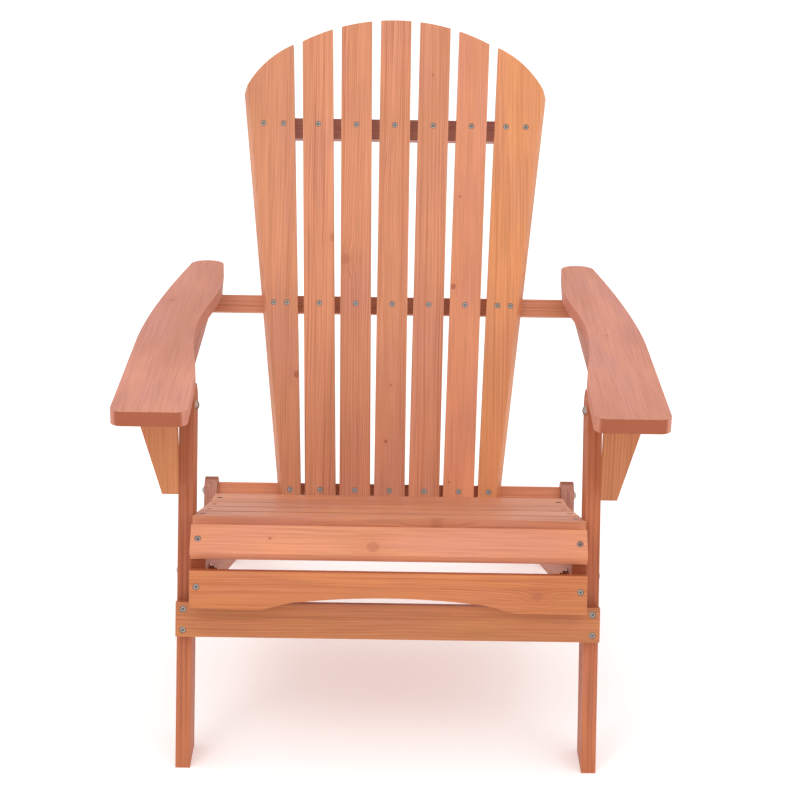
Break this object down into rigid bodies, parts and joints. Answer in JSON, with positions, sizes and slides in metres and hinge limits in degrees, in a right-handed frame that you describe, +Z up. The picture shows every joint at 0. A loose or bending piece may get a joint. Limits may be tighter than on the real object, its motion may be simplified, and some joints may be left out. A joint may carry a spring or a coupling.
{
  "type": "folding adirondack chair",
  "caption": "Slatted wooden garden chair with a fanned reclining back, sloping seat and broad armrests, folding forward on bolted pivots.",
  "frame": {"origin": "on the floor under the middle of the open chair's bounding box", "axes": "+Z up, the sitter faces -Y, +X is to the right of someone looking at the chair from the front"},
  "size_m": [0.724, 0.842, 0.9015],
  "materials": {
    "frame_wood": "satin stain over planed softwood",
    "back_slat_wood": "satin stain over planed softwood",
    "armrest_wood": "satin stain over planed softwood",
    "zinc": "bright zinc plate"
  },
  "bodies": {
    "seat_frame": {"seat_rail_left": "frame_wood", "seat_rail_right": "frame_wood", "seat_slat_front": "frame_wood", "seat_slat_1": "frame_wood", "seat_slat_2": "frame_wood", "seat_slat_3": "frame_wood", "seat_slat_4": "frame_wood", "front_apron": "frame_wood", "back_ear_left": "frame_wood", "back_ear_right": "frame_wood", "seat_screws": "zinc", "apron_screws": "zinc", "ear_screws": "zinc"},
    "front_legs": {"front_leg_left": "frame_wood", "front_leg_right": "frame_wood", "front_stretcher": "frame_wood", "stretcher_screws": "zinc", "leg_pivot_bolts": "zinc", "leg_pivot_washers": "zinc", "leg_pivot_nuts": "zinc", "arm_pivot_bolts": "zinc", "arm_pivot_washers": "zinc", "arm_pivot_nuts": "zinc"},
    "back": {"back_slat_1": "back_slat_wood", "back_slat_2": "back_slat_wood", "back_slat_3": "back_slat_wood", "back_slat_4": "back_slat_wood", "back_slat_5": "back_slat_wood", "back_slat_6": "back_slat_wood", "back_slat_7": "back_slat_wood", "back_top_batten": "frame_wood", "arm_crossbar": "frame_wood", "lower_batten": "frame_wood", "back_top_screws": "zinc", "back_middle_screws": "zinc", "back_bottom_screws": "zinc", "back_pivot_bolts": "zinc", "back_pivot_washers": "zinc"},
    "left_arm": {"armrest_left": "armrest_wood", "arm_rail_left": "frame_wood", "arm_corbel_left": "frame_wood", "arm_screws_left": "zinc", "rear_arm_bolt_left": "zinc", "rear_arm_washer_left": "zinc"},
    "right_arm": {"armrest_right": "armrest_wood", "arm_rail_right": "frame_wood", "arm_corbel_right": "frame_wood", "arm_screws_right": "zinc", "rear_arm_bolt_right": "zinc", "rear_arm_washer_right": "zinc"}
  },
  "joints": [
    {"name": "back_fold", "type": "hinge", "parent": "seat_frame", "child": "back", "pos_m": [0, 0.07207, 0.20822], "axis": [1, 0, 0], "range_deg": [0, 59]},
    {"name": "leg_fold", "type": "hinge", "parent": "seat_frame", "child": "front_legs", "pos_m": [0, -0.30737, 0.24638], "axis": [1, 0, 0], "range_deg": [0, 77.9]},
    {"name": "left_arm_fold", "type": "hinge", "parent": "front_legs", "child": "left_arm", "pos_m": [-0.278, -0.23843, 0.46371], "axis": [-1, 0, 0], "range_deg": [0, 68.5]},
    {"name": "right_arm_fold", "type": "hinge", "parent": "front_legs", "child": "right_arm", "pos_m": [0.278, -0.23843, 0.46371], "axis": [-1, 0, 0], "range_deg": [0, 68.5]}
  ],
  "couplings": [
    {"joint": "leg_fold", "follows": "back_fold", "ratio": 1.32},
    {"joint": "left_arm_fold", "follows": "back_fold", "ratio": 1.16},
    {"joint": "right_arm_fold", "follows": "back_fold", "ratio": 1.16}
  ]
}
